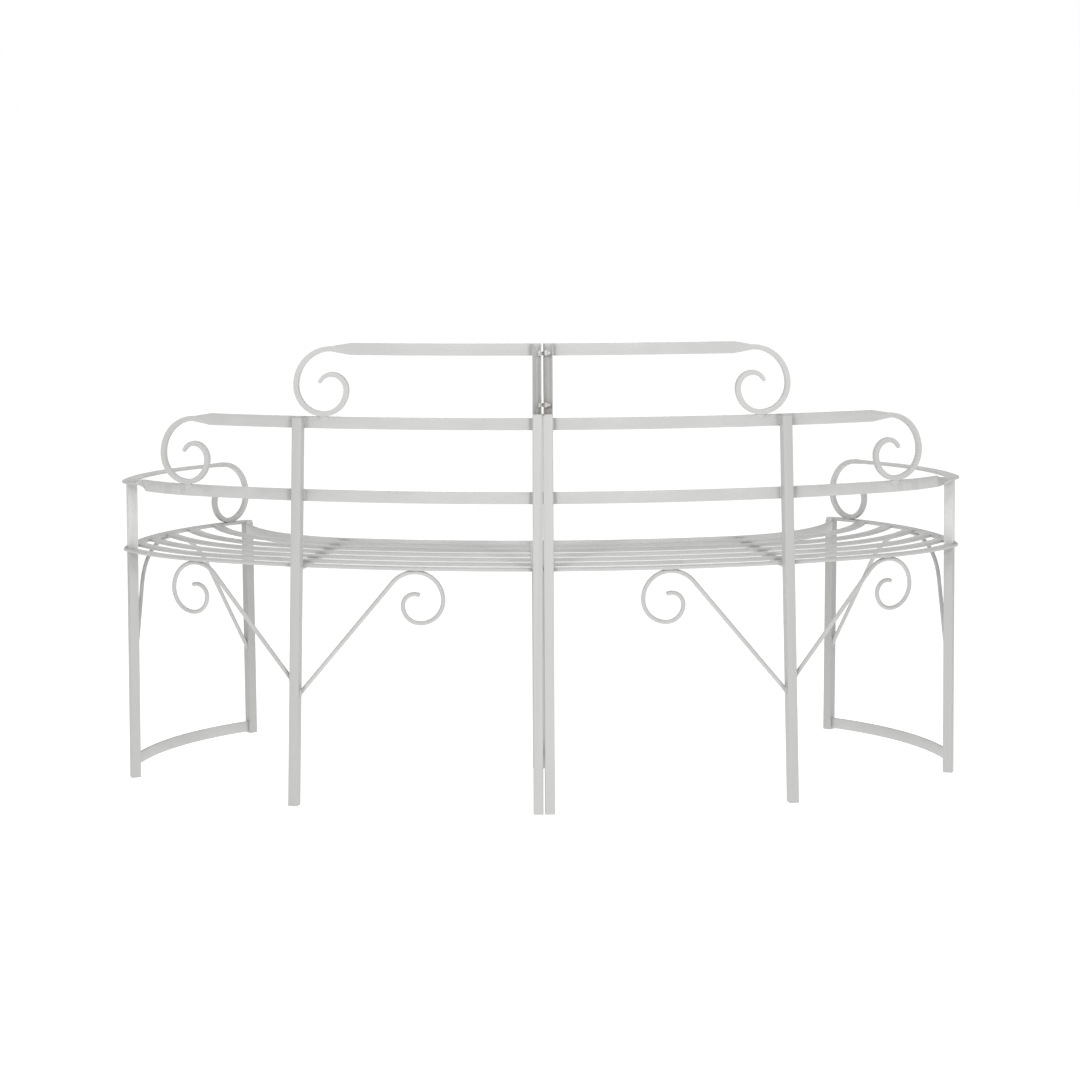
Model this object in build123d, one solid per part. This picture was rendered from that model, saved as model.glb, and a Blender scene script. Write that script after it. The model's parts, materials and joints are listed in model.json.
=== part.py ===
"""Curved garden bench of painted steel, in two halves bolted together at the middle.

Millimetres. +X is the viewer's right in the photograph, +Y the way a sitter faces, +Z up.
The right half is drawn and the left half is its mirror image. While drawing, y = 0 is the face
where the back posts meet the rails; at the end everything moves so the origin is under the middle.
"""
import os
from math import asin, atan2, ceil, cos, degrees, hypot, radians, sin, tan

from build123d import *

# stock the bench is made from
TUBE = 18.0            # square tube, outside
TUBE_WALL = 1.5
TUBE_CORNER = 1.2      # taken off the outside corners
BAR_W = 21.5           # flat bar, width
BAR_T = 5.0            # flat bar, thickness
ROD_D = 8.0            # brace rod
ROUND_SIDE_COUNT = 8   # sides that stand for a round section
HEX_SIDE_COUNT = 6
BEND_STEP = 15.0       # degrees of bend between two sections of a scroll or rod
TWIST_STEP_COUNT = 6
SCROLL_W = 9.2         # bar end drawn down for a scroll, across flats
SCROLL_EASE = 2.6      # corner taken off that section
BAR_EASE = 0.6         # corner taken off the bar where the drawing down starts

# heights
SEAT_TOP = 445.0
ARM_LEVEL = 572.0      # middle of the lowest back rail and of the arm
TIER = 132.0           # rise from one back rail to the next

# plan of the back
BACK_RADIUS = 1410.0   # face where rails meet the centre and middle posts
HALF_GAP = 0.15        # half the gap between the two halves, at the lower bolt
CENTRE_POST_LEAN = 0.1   # degrees, foot outward
MID_POST_X = 445.0
MID_POST_LEAN = 1.7    # degrees, foot outward along the back
END_LEG = (783.5, 303.0)
END_LEG_LEAN = 0.75    # degrees, top inward
FRONT_LEG = (603.0, 706.0)
END_LEG_TURN = 69.0    # direction the end leg is squared to, degrees from +X
FRONT_LEG_TURN = 140.0
CORNER_RADIUS = 30.0   # bends over the end leg
BACK_END_TURN = 57.0   # direction of the back bars as they reach the end leg
END_BAR_TURN = 88.5    # direction of the seat end bar as it leaves the end leg

# seat
SEAT_DEPTH = 372.5     # post face to the middle of the front rail, at the centre
FRONT_END_TURN = 85.0  # direction of the front rail as it reaches the front leg
SLAT_COUNT = 5
CROSS_BAR_FRONT_X = 385.0

# rails and scrolls
TOP_RAIL_X = 341.0     # where the flat part of each rail stops
MIDDLE_RAIL_X = 604.0
DRAW_LENGTH = 36.0     # length over which the bar end is drawn down
SCROLL_LOWER = 50.0    # second radius along a scroll
BACK_CURL = (44.0, 27.0)  # third and fourth radii of the back's scrolls
ARM_CURL = (41.0, 24.0)   # and of the arm's scroll
SCROLL_TIP = 25.0
SCROLL_TIP_TURN = 62.0
TIP_NOSE = 3.0
TWIST_LENGTH = 35.0
ARM_CORNER_RADIUS = 25.0
ARM_START_TURN = 100.0
ARM_FINISH_TURN = 128.0
ARM_FALL = 7.0         # drop of the arm from its post to the start of its scroll
ARM_LAP = 0.3          # degrees the arm runs back into its bend
ARM_SCROLL_BACK = 44.0  # arm scroll contact, measured back from the front leg along the end bar

# braces and stretchers
INNER_BRACE = (198.0, 50.0)  # height on the middle post and slope of the straight part, degrees
OUTER_BRACE = (225.0, 48.0)
BRACE_CROWN = 56.0
BRACE_RADII = (50.0, 43.0, 31.0)
BRACE_TIP = 22.0
BRACE_TIP_TURN = 112.0
ARCH_FOOT = 168.0      # height where the arch meets the middle of each end leg
ARCH_RISE = 64.0       # slope of its straight parts, degrees
STRETCHER_BOW = 39.0      # how far the end stretcher bows out from a straight line
STRETCHER_BACK_LIFT = 18.5
STRETCHER_FRONT_LIFT = 2.5

# bolted joint between the centre posts
WINDOW = 124.0         # open length at the top of each centre post
WALL_SET_BACK = 1.45   # the bolted wall stands this far behind the side of the post
BOLT_DROPS = (17.0, 108.0)
BOLT_D = 6.0
BOLT_HOLE = 6.6
BOLT_END = 14.0
HEX_FLATS = 10.0
HEAD_H = 4.0
NUT_H = 5.0

# end closures
PLUG_H = 8.0
CAP_T = 2.0

# reach of the blocks that only cut
CUT_REACH = 3000.0     # beyond any size of the bench
CUT_SPARE = 30.0       # run-over past a face that is cut
CUT_SPARE_ANGLE = 8.0

SEAT_UNDER = SEAT_TOP - BAR_T
MIDDLE_LEVEL = ARM_LEVEL + TIER
TOP_LEVEL = ARM_LEVEL + 2 * TIER
BENCH_TOP = TOP_LEVEL + BAR_W / 2
SEAT_RADIUS = BACK_RADIUS - BAR_W / 2  # middle line of the bars of the seat
MIDDLE_TOP = MIDDLE_LEVEL + BAR_W / 2
ARM_UNDER = ARM_LEVEL - BAR_T / 2
FRONT_RAIL_BACK = SEAT_DEPTH - BAR_T / 2


def heading(turn):
    """Unit plan direction for a turn in degrees from +X."""
    return cos(radians(turn)), sin(radians(turn))


def on_arc(centre, radius, turn):
    """Plan point of an arc where the direction of travel is TURN."""
    c, s = heading(turn)
    return centre[0] + radius * s, centre[1] - radius * c


def arc_from(start, radius, turn0, turn1):
    """One plan arc that leaves START in direction TURN0 and bends to TURN1."""
    c, s = heading(turn0)
    return (start[0] - radius * s, start[1] + radius * c), radius, turn0, turn1


def finish(arc):
    """End point of a plan arc."""
    return on_arc(arc[0], arc[1], arc[3])


def bow(apex, radius, end, end_turn):
    """Two tangent plan arcs from the middle of the bench to END, arriving in direction END_TURN."""
    c1 = (0.0, apex + radius)
    qx, qy = end[0] - c1[0], end[1] - c1[1]
    c, s = heading(end_turn)
    r2 = (radius**2 - qx**2 - qy**2) / (2 * (radius - qx * s + qy * c))
    c2 = (end[0] - r2 * s, end[1] + r2 * c)
    turn = degrees(atan2(c2[0] - c1[0], c1[1] - c2[1]))
    return [(c1, radius, 0.0, turn), (c2, r2, turn, end_turn)]


def strip(arcs, width, z0, height):
    """Bar of the given plan width along plan arcs, from height z0 upward."""
    def edge(arc, offset):
        c, r, a0, a1 = arc
        pts = [on_arc(c, r + offset, a) for a in (a0, (a0 + a1) / 2, a1)]
        return ThreePointArc(*[(x, y, z0) for x, y in pts])

    half = width / 2
    outer = [edge(arc, half) for arc in arcs]
    inner = [edge(arc, -half) for arc in arcs]
    ends = [Line(outer[0] @ 0, inner[0] @ 0), Line(outer[-1] @ 1, inner[-1] @ 1)]
    return extrude(make_face([e.edge() for e in outer + inner + ends]), height, dir=(0, 0, 1))


def slab(x0, x1, y0, y1, z0, z1):
    """Plain block between the given limits."""
    return Pos((x0 + x1) / 2, (y0 + y1) / 2, (z0 + z1) / 2) * Box(x1 - x0, y1 - y0, z1 - z0)


def right_of(part, x):
    """PART with everything left of x taken away."""
    return part - slab(x - CUT_REACH, x, -CUT_REACH, CUT_REACH, -CUT_REACH, CUT_REACH)


def between(part, z0, z1):
    """PART cut level at z0 and z1."""
    return part & slab(-CUT_REACH, CUT_REACH, -CUT_REACH, CUT_REACH, z0, z1)


def eased(width, height, ease):
    """Rectangle with its four corners taken off."""
    a, b = width / 2, height / 2
    pts = [(a - ease, -b), (a, -b + ease), (a, b - ease), (a - ease, b),
           (-a + ease, b), (-a, b - ease), (-a, -b + ease), (-a + ease, -b)]
    return make_face(Polyline(*pts, close=True).edges())


def tube_profile():
    return eased(TUBE, TUBE, TUBE_CORNER)


def bore_profile():
    return Rectangle(TUBE - 2 * TUBE_WALL, TUBE - 2 * TUBE_WALL)


def rod_profile():
    return RegularPolygon(ROD_D / 2, ROUND_SIDE_COUNT)


def upright(place, z0, z1, profile):
    """Straight post of a profile at PLACE, cut level at both ends."""
    tall = Pos(0, 0, z0 - CUT_SPARE) * extrude(profile, z1 - z0 + 2 * CUT_SPARE)
    return between(place * tall, z0, z1)


def leg_place(point, turn):
    return Pos(*point, 0) * Rot(0, 0, turn)


def mid_post_place():
    """Middle post: its face lies on the back cylinder and it leans within that face."""
    turn = degrees(asin(MID_POST_X / (BACK_RADIUS + TUBE / 2)))
    x, y = on_arc((0, BACK_RADIUS), BACK_RADIUS + TUBE / 2, turn)
    pivot = Pos(x, y, SEAT_TOP) * Rot(0, 0, turn)
    return pivot * Rot(0, -MID_POST_LEAN, 0) * Pos(0, 0, -SEAT_TOP)


def centre_post_place():
    """Centre post: it leans a little within the back, away from the joint at its lower bolt."""
    pivot_z = BENCH_TOP - BOLT_DROPS[-1]
    pivot = Pos(HALF_GAP + TUBE / 2, -TUBE / 2, pivot_z)
    return pivot * Rot(0, -CENTRE_POST_LEAN, 0) * Pos(0, 0, -pivot_z)


CENTRE_PLACE = centre_post_place()
INNER_LEG_PLACE = Pos(HALF_GAP + TUBE / 2, FRONT_RAIL_BACK - TUBE / 2, 0)
MID_PLACE = mid_post_place()
END_PLACE = leg_place(END_LEG, END_LEG_TURN) * Rot(-END_LEG_LEAN, 0, 0)
FRONT_PLACE = leg_place(FRONT_LEG, FRONT_LEG_TURN)


def corner_arc(radius, turn0, turn1):
    """Bend centred over the end leg."""
    c, s = heading((turn0 + turn1) / 2)
    return (END_LEG[0] - radius * s, END_LEG[1] + radius * c), radius, turn0, turn1


def seat_corner():
    return corner_arc(CORNER_RADIUS, BACK_END_TURN, END_BAR_TURN)


def arm_corner():
    return corner_arc(ARM_CORNER_RADIUS, BACK_END_TURN, ARM_START_TURN)


def end_bar_arc():
    """Middle line of the seat end bar, from the corner over the end leg to the front leg."""
    start = finish(seat_corner())
    dx, dy = FRONT_LEG[0] - start[0], FRONT_LEG[1] - start[1]
    half_turn = degrees(atan2(dy, dx)) - END_BAR_TURN
    radius = hypot(dx, dy) / (2 * sin(radians(half_turn)))
    return arc_from(start, radius, END_BAR_TURN, END_BAR_TURN + 2 * half_turn)


def rail_arcs():
    """Middle line of an on-edge back rail, up to the start of the arm twist."""
    bend = arm_corner()
    at = on_arc(bend[0], bend[1], BACK_END_TURN)
    c, s = heading(BACK_END_TURN)
    end = (at[0] - TWIST_LENGTH * c, at[1] - TWIST_LENGTH * s)
    return bow(BAR_T / 2, BACK_RADIUS - BAR_T / 2, end, BACK_END_TURN)


def prism_along_x(x0, length, flats, sides, z):
    """Regular bar along x through the middle of the centre posts, FLATS across."""
    block = extrude(RegularPolygon(flats / 2, sides, major_radius=False), length)
    return Pos(x0, -TUBE / 2, z) * Rot(0, 90, 0) * block


def centre_post():
    """Tube open to the rear at its top, where a set-back inner wall takes the bolts."""
    body = upright(CENTRE_PLACE, 0, BENCH_TOP, tube_profile() - bore_profile())
    inner = HALF_GAP + TUBE_WALL
    outer = HALF_GAP + TUBE - TUBE_WALL
    wall = HALF_GAP + WALL_SET_BACK
    foot = BENCH_TOP - WINDOW
    body -= slab(inner, outer, -TUBE - CUT_SPARE, -TUBE + 2 * TUBE_WALL, foot, BENCH_TOP + CUT_SPARE)
    body -= slab(-CUT_SPARE, inner, -TUBE - CUT_SPARE, CUT_SPARE, foot, BENCH_TOP + CUT_SPARE)
    body += slab(wall, wall + TUBE_WALL, -TUBE, 0, foot, BENCH_TOP)
    body += slab(inner, wall + TUBE_WALL, -TUBE + TUBE_WALL, -TUBE_WALL, foot - PLUG_H, foot)
    for drop in BOLT_DROPS:
        body -= prism_along_x(0, wall + 2 * TUBE_WALL, BOLT_HOLE, ROUND_SIDE_COUNT, BENCH_TOP - drop)
    return body


def section_at(point, ahead, sketch):
    """SKETCH set square to a direction, its own x level."""
    side = Vector(ahead.Y, -ahead.X, 0).normalized()
    return Plane(origin=point, x_dir=side, z_dir=ahead) * sketch


def bent(start, along, up, moves):
    """Points and directions along a bar bent in the plane of ALONG and UP.

    MOVES starts with the first aim in degrees; then each is (0, length) or (radius, degrees turned).
    """
    def aimed(degree):
        c, s = heading(degree)
        return along * c + up * s, up * c - along * s

    at, aim = start, moves[0]
    rows = [(at, aimed(aim)[0])]
    for radius, amount in moves[1:]:
        ahead, left = aimed(aim)
        if radius == 0:
            rows.append((at + ahead * amount, ahead))
        else:
            centre = at - left * radius
            steps = ceil(amount / BEND_STEP)
            for i in range(1, steps + 1):
                ahead, left = aimed(aim - amount * i / steps)
                rows.append((centre + left * radius, ahead))
            aim -= amount
        at = rows[-1][0]
    return rows


def bent_rod(start, along, up, moves):
    side = up.cross(along)
    rows = bent(start, along, up, moves)
    return loft([Plane(origin=p, x_dir=side, z_dir=a) * rod_profile() for p, a in rows], ruled=True)


def drawn_scroll(point, turn, slope, width, height, rest, curl):
    """Bar end drawn down from WIDTH by HEIGHT, then scrolled under to stand on the level REST."""
    along = Vector(*heading(turn), 0)
    up = Vector(0, 0, 1)
    drop = point.Z - DRAW_LENGTH * sin(radians(slope)) - rest - SCROLL_W / 2
    first = (drop - SCROLL_LOWER) / cos(radians(slope))
    moves = [-slope, (0, DRAW_LENGTH), (first, 90 - slope), (SCROLL_LOWER, 90), (curl[0], 90),
             (curl[1], 90), (SCROLL_TIP, SCROLL_TIP_TURN), (0, TIP_NOSE)]
    rows = bent(point, along, up, moves)
    thin = SCROLL_W - 2 * TIP_NOSE
    sketches = [eased(SCROLL_W, SCROLL_W, SCROLL_EASE)] * len(rows)
    sketches[0] = eased(width, height, BAR_EASE)
    sketches[-1] = eased(thin, thin, SCROLL_EASE / 2)
    side = up.cross(along)
    return loft([Plane(origin=p, x_dir=side, z_dir=a) * sketch
                 for (p, a), sketch in zip(rows, sketches)], ruled=True)


def back_rail(level, stop_x, below):
    """On-edge rail of the back with its drawn-down scroll standing on the rail BELOW."""
    c, r, _, _ = rail_arcs()[0]
    stop = degrees(asin(stop_x / r))
    flat = strip([(c, r, 0.0, stop)], BAR_T, level - BAR_W / 2, BAR_W)
    point = Vector(*on_arc(c, r, stop), level)
    scroll = drawn_scroll(point, stop, 0.0, BAR_T, BAR_W, below + BAR_W / 2, BACK_CURL)
    return right_of(flat, HALF_GAP + WALL_SET_BACK) + scroll


def twist(point, turn, hand):
    """Quarter twist of the flat bar, from on edge to lying flat.

    HAND 1 turns its lower edge inward, toward the seat, and -1 outward.
    """
    along = Vector(*heading(turn), 0)
    rows = []
    for i in range(TWIST_STEP_COUNT + 1):
        share = i / TWIST_STEP_COUNT
        bar = Rot(0, 0, 90.0 * share * hand) * Rectangle(BAR_T, BAR_W)
        rows.append(section_at(point + along * (TWIST_LENGTH * share), along, bar))
    return loft(rows, ruled=True)


def arm_arcs():
    """Bend over the arm post, then the bowed arm up to where it is drawn down."""
    centre, bend_r, turn0, _ = arm_corner()
    c, r, _, last = end_bar_arc()
    contact = on_arc(c, r, last - degrees(ARM_SCROLL_BACK / r))
    fx, fy = heading(ARM_FINISH_TURN)
    lead = ARM_LEVEL - ARM_FALL - SEAT_TOP - SCROLL_W / 2 - 2 * SCROLL_LOWER + DRAW_LENGTH
    stop = (contact[0] - lead * fx, contact[1] - lead * fy)
    qx, qy = stop[0] - centre[0], stop[1] - centre[1]
    radius = (qx**2 + qy**2 - bend_r**2) / (2 * (qx * fy - qy * fx - bend_r))
    arm_centre = (stop[0] - radius * fy, stop[1] + radius * fx)
    turn = degrees(atan2(centre[0] - arm_centre[0], arm_centre[1] - centre[1]))
    return [(centre, bend_r, turn0, turn), (arm_centre, radius, turn, ARM_FINISH_TURN)]


def arm_rail(hand):
    """Lowest back rail, twisted flat over the arm post, then the sloping arm and its front scroll."""
    rail = rail_arcs()
    edge_part = right_of(strip(rail, BAR_T, ARM_LEVEL - BAR_W / 2, BAR_W), HALF_GAP)
    end = Vector(*finish(rail[-1]), ARM_LEVEL)
    bend, (c, r, a0, a1) = arm_arcs()
    x0, y0 = finish(bend)
    x1, y1 = on_arc(c, r, a1)
    fx, fy = heading(a1)
    slope = degrees(atan2(ARM_FALL, (x1 - x0) * fx + (y1 - y0) * fy + DRAW_LENGTH))
    pivot = Pos(x0, y0, ARM_LEVEL) * Rot(0, 0, a1)
    lowered = pivot * Rot(0, slope, 0) * pivot.inverse()
    arm = lowered * strip([(c, r, a0 - ARM_LAP, a1)], BAR_W, ARM_UNDER, BAR_T)
    stop = (lowered * Pos(x1, y1, ARM_LEVEL)).position
    corner = strip([bend], BAR_W, ARM_UNDER, BAR_T)
    front = drawn_scroll(stop, a1, slope, BAR_W, BAR_T, SEAT_TOP, ARM_CURL)
    return edge_part + twist(end, BACK_END_TURN, hand) + corner + arm + front


def split_corner(first):
    """Half of the seat corner bend, for the back rail or for the end bar."""
    c, r, a0, a1 = seat_corner()
    middle = (a0 + a1) / 2
    return (c, r, a0, middle) if first else (c, r, middle, a1)


def seat_back_rail():
    corner = split_corner(True)
    arcs = bow(BAR_W / 2, SEAT_RADIUS, on_arc(*corner[:3]), BACK_END_TURN)
    return right_of(strip(arcs + [corner], BAR_W, SEAT_UNDER, BAR_T), HALF_GAP)


def seat_end_bar():
    """Flat bar over both end legs, its front end rounded over the front leg."""
    arc = end_bar_arc()
    bar = strip([split_corner(False), arc], BAR_W, SEAT_UNDER, BAR_T)
    x, y = finish(arc)
    return bar + Pos(x, y, SEAT_UNDER + BAR_T / 2) * Cylinder(BAR_W / 2, BAR_T)


def seat_front_rail(end_bar):
    arcs = bow(SEAT_DEPTH, SEAT_RADIUS, FRONT_LEG, FRONT_END_TURN)
    rail = right_of(strip(arcs, BAR_T, SEAT_TOP - BAR_W, BAR_W), HALF_GAP)
    solid_leg = upright(FRONT_PLACE, 0, SEAT_UNDER, tube_profile())
    cut = rail - solid_leg - end_bar
    return cut.solids().sort_by(SortBy.VOLUME)[-1]


def slat(i):
    """Slat i, counted from the back; each ends square against the end bar's inner edge."""
    share = i / (SLAT_COUNT + 1)
    c, r, a0, a1 = end_bar_arc()
    end = on_arc(c, r, a0 + (a1 - a0) * share)
    end_turn = BACK_END_TURN + (FRONT_END_TURN - BACK_END_TURN) * share
    apex = BAR_W / 2 + (SEAT_DEPTH - BAR_W / 2) * share
    bar = strip(bow(apex, SEAT_RADIUS, end, end_turn), BAR_W, SEAT_UNDER, BAR_T)
    beyond = (c, r + CUT_SPARE / 2, a0 - CUT_SPARE_ANGLE, a1 + CUT_SPARE_ANGLE)
    outside = strip([beyond], BAR_W + CUT_SPARE, SEAT_UNDER - BAR_T, 3 * BAR_T)
    cut = right_of(bar, HALF_GAP + BAR_W) - outside
    return cut.solids().sort_by(SortBy.VOLUME)[-1]


def seat_inner_bar():
    x0 = HALF_GAP
    return slab(x0, x0 + BAR_W, BAR_W, FRONT_RAIL_BACK, SEAT_UNDER, SEAT_TOP) - strip(
        bow(BAR_W / 2, SEAT_RADIUS, END_LEG, BACK_END_TURN)[:1], BAR_W, 0, CUT_REACH)


def seat_cross_bar():
    """Flat bar under the slats, from the middle post to the front rail."""
    turn = degrees(asin(MID_POST_X / BACK_RADIUS))
    back = on_arc((0, BACK_RADIUS), BACK_RADIUS, turn)
    front_y = SEAT_DEPTH + SEAT_RADIUS - (SEAT_RADIUS**2 - CROSS_BAR_FRONT_X**2) ** 0.5
    dx, dy = CROSS_BAR_FRONT_X - back[0], front_y - back[1]
    bar = Pos((back[0] + CROSS_BAR_FRONT_X) / 2, (back[1] + front_y) / 2, SEAT_UNDER - BAR_T / 2)
    bar *= Rot(0, 0, degrees(atan2(dy, dx)))
    block = bar * Box(hypot(dx, dy) + CUT_SPARE, BAR_W, BAR_T)
    front = bow(SEAT_DEPTH, SEAT_RADIUS, FRONT_LEG, FRONT_END_TURN)
    ahead = strip([(c, r - CUT_SPARE, a0, a1) for c, r, a0, a1 in front], 2 * CUT_SPARE + BAR_T, 0, CUT_REACH)
    rear = Pos(0, -CUT_SPARE) * Rectangle(3 * CUT_SPARE, TUBE + 2 * CUT_SPARE)
    behind = upright(MID_PLACE, 0, MIDDLE_TOP, rear)
    return block - ahead - behind


def scroll_brace(foot, slope, side):
    """Rod from the middle post up to the underside of the seat back rail, then curled.

    SIDE is 1 for the brace toward the end of the bench and -1 for the one toward its middle.
    """
    start = (MID_PLACE * Pos(0, 0, foot)).position
    c, s = heading(slope)
    rise = SEAT_UNDER - ROD_D / 2 - start.Z
    length = (rise - BRACE_CROWN * (1 - c)) / s
    reach = length * c + BRACE_CROWN * s
    turn = degrees(asin(MID_POST_X / BACK_RADIUS) + side * reach / BACK_RADIUS)
    touch = Vector(*on_arc((0, BACK_RADIUS), BACK_RADIUS - BAR_W / 2, turn), start.Z)
    along = (touch - start).normalized()
    moves = [slope, (0, length), (BRACE_CROWN, slope)]
    moves += [(r, 90) for r in BRACE_RADII] + [(BRACE_TIP, BRACE_TIP_TURN)]
    rod = bent_rod(start, along, Vector(0, 0, 1), moves)
    return rod - upright(MID_PLACE, 0, MIDDLE_TOP, Rectangle(TUBE, TUBE))


def arch_brace():
    """Rod bent in one plane from the end leg to the front leg; the plane leans out to the end bar."""
    c, r, a0, a1 = end_bar_arc()
    back, front = Vector(*on_arc(c, r, a0), ARCH_FOOT), Vector(*on_arc(c, r, a1), ARCH_FOOT)
    crown = Vector(*on_arc(c, r, (a0 + a1) / 2), SEAT_UNDER - ROD_D / 2)
    along = (front - back).normalized()
    rise = crown - (back + front) / 2
    slope = radians(ARCH_RISE)
    radius = ((front - back).length / 2 - rise.length / tan(slope)) / tan(slope / 2)
    straight = rise.length / sin(slope) - radius * tan(slope / 2)
    moves = [ARCH_RISE, (0, straight), (radius, 2 * ARCH_RISE), (0, straight)]
    rod = bent_rod(back, along, rise.normalized(), moves)
    for place in (END_PLACE, FRONT_PLACE):
        rod -= upright(place, 0, SEAT_UNDER, Rectangle(TUBE, TUBE))
    return between(rod, 0, SEAT_UNDER).solids().sort_by(SortBy.VOLUME)[-1]


def end_stretcher():
    """On-edge bar near the floor under the end bar, flatter than it and lower at the front leg."""
    c, r, a0, _ = end_bar_arc()
    x0, y0 = on_arc(c, r, a0)
    span = hypot(FRONT_LEG[0] - x0, FRONT_LEG[1] - y0)
    chord = degrees(atan2(FRONT_LEG[1] - y0, FRONT_LEG[0] - x0))
    half_turn = 2 * degrees(atan2(2 * STRETCHER_BOW, span))
    radius = span / (2 * sin(radians(half_turn)))
    arc = arc_from((x0, y0), radius, chord - half_turn, chord + half_turn)
    bar = strip([arc], BAR_T, 0, BAR_W)
    tilt = degrees(atan2(STRETCHER_BACK_LIFT - STRETCHER_FRONT_LIFT, span))
    pivot = Pos(*FRONT_LEG, STRETCHER_FRONT_LIFT) * Rot(0, 0, chord)
    moved = pivot * Rot(0, tilt, 0) * pivot.inverse() * Pos(0, 0, STRETCHER_FRONT_LIFT) * bar
    for place in (END_PLACE, FRONT_PLACE):
        moved -= upright(place, -CUT_SPARE, SEAT_UNDER, Rectangle(TUBE, TUBE))
    return between(moved, 0, SEAT_UNDER).solids().sort_by(SortBy.VOLUME)[-1]


def inner_stretcher():
    x = HALF_GAP + TUBE / 2
    lift = STRETCHER_BACK_LIFT
    return slab(x - BAR_T / 2, x + BAR_T / 2, 0, FRONT_RAIL_BACK - TUBE, lift, lift + BAR_W)


def joint_hardware():
    """Bolts and nuts that hold the two centre posts together."""
    wall = HALF_GAP + WALL_SET_BACK + TUBE_WALL
    bolts, nuts = [], []
    for drop in BOLT_DROPS:
        z = BENCH_TOP - drop
        shank = prism_along_x(-wall, wall + BOLT_END, BOLT_D, ROUND_SIDE_COUNT, z)
        bolts.append(shank + prism_along_x(-wall - HEAD_H, HEAD_H, HEX_FLATS, HEX_SIDE_COUNT, z))
        nuts.append(prism_along_x(wall, NUT_H, HEX_FLATS, HEX_SIDE_COUNT, z) - shank)
    return {"joint_bolts": bolts, "joint_nuts": nuts}


def right_half():
    """The pieces of the right half, by name, that the left half has as mirror images."""
    hollow = tube_profile() - bore_profile()
    front_leg = upright(FRONT_PLACE, 0, SEAT_UNDER, hollow)
    mid_post = upright(MID_PLACE, 0, MIDDLE_TOP - CAP_T, hollow)
    end_bar = seat_end_bar()
    half = {
        "centre_post": centre_post(),
        "mid_post": mid_post,
        "end_leg": upright(END_PLACE, 0, SEAT_UNDER, hollow),
        "front_leg": front_leg,
        "inner_front_leg": upright(INNER_LEG_PLACE, 0, SEAT_UNDER, hollow),
        "top_rail": back_rail(TOP_LEVEL, TOP_RAIL_X, MIDDLE_LEVEL),
        "middle_rail": back_rail(MIDDLE_LEVEL, MIDDLE_RAIL_X, ARM_LEVEL),
        "seat_back_rail": seat_back_rail(),
        "seat_end_bar": end_bar,
        "seat_front_rail": seat_front_rail(end_bar),
        "seat_inner_bar": seat_inner_bar(),
        "seat_cross_bar": seat_cross_bar(),
        "arch_brace": arch_brace(),
        "scroll_brace_inner": scroll_brace(*INNER_BRACE, -1),
        "scroll_brace_outer": scroll_brace(*OUTER_BRACE, 1),
        "end_stretcher": end_stretcher(),
        "inner_stretcher": inner_stretcher(),
    }
    for i in range(1, SLAT_COUNT + 1):
        half[f"seat_slat_{i}"] = slat(i)
    return half


def arm_pieces(hand):
    """The arm rail and the post under it, drawn on the right."""
    arm = arm_rail(hand)
    hollow = tube_profile() - bore_profile()
    return {"arm_rail": arm, "arm_post": upright(END_PLACE, SEAT_TOP, ARM_UNDER, hollow) - arm}


def closures():
    """Plugs in the feet and the caps on the middle posts, as (right-half) solids."""
    plugs = [upright(p, 0, PLUG_H, bore_profile())
             for p in (CENTRE_PLACE, MID_PLACE, END_PLACE, FRONT_PLACE, INNER_LEG_PLACE)]
    caps = [upright(MID_PLACE, MIDDLE_TOP - CAP_T, MIDDLE_TOP, tube_profile())]
    return {"foot_plugs": plugs, "post_caps": caps}


def bench():
    nodes = {}
    half = right_half()
    # Both arms are twisted the same way round, so they are no mirror images of each other.
    for name, part in (half | arm_pieces(-1)).items():
        nodes[name + "_right"] = [part]
    for name, part in (half | arm_pieces(1)).items():
        nodes[name + "_left"] = [mirror(part, about=Plane.YZ)]
    for name, parts in closures().items():
        nodes[name] = parts + [mirror(p, about=Plane.YZ) for p in parts]
    nodes.update(joint_hardware())
    return nodes


def main():
    nodes = bench()
    solids = {name: [s for p in parts for s in p.solids()] for name, parts in nodes.items()}
    box = Compound([s for group in solids.values() for s in group]).bounding_box()
    centre = Pos(0, -(box.min.Y + box.max.Y) / 2, 0)
    os.makedirs("parts", exist_ok=True)
    for name, group in solids.items():
        moved = [centre * s for s in group]
        export_step(moved[0] if len(moved) == 1 else Compound(moved), f"parts/{name}.step")
    print(len(solids), "nodes; box", [round(v, 1) for v in box.size])


main()
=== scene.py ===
import json
from math import asin, atan2, ceil, cos, degrees, hypot, pi, radians, sin, tan

import bpy
from bpy.props import FloatProperty, FloatVectorProperty, IntProperty, PointerProperty
from mathutils import Matrix, Vector

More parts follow.
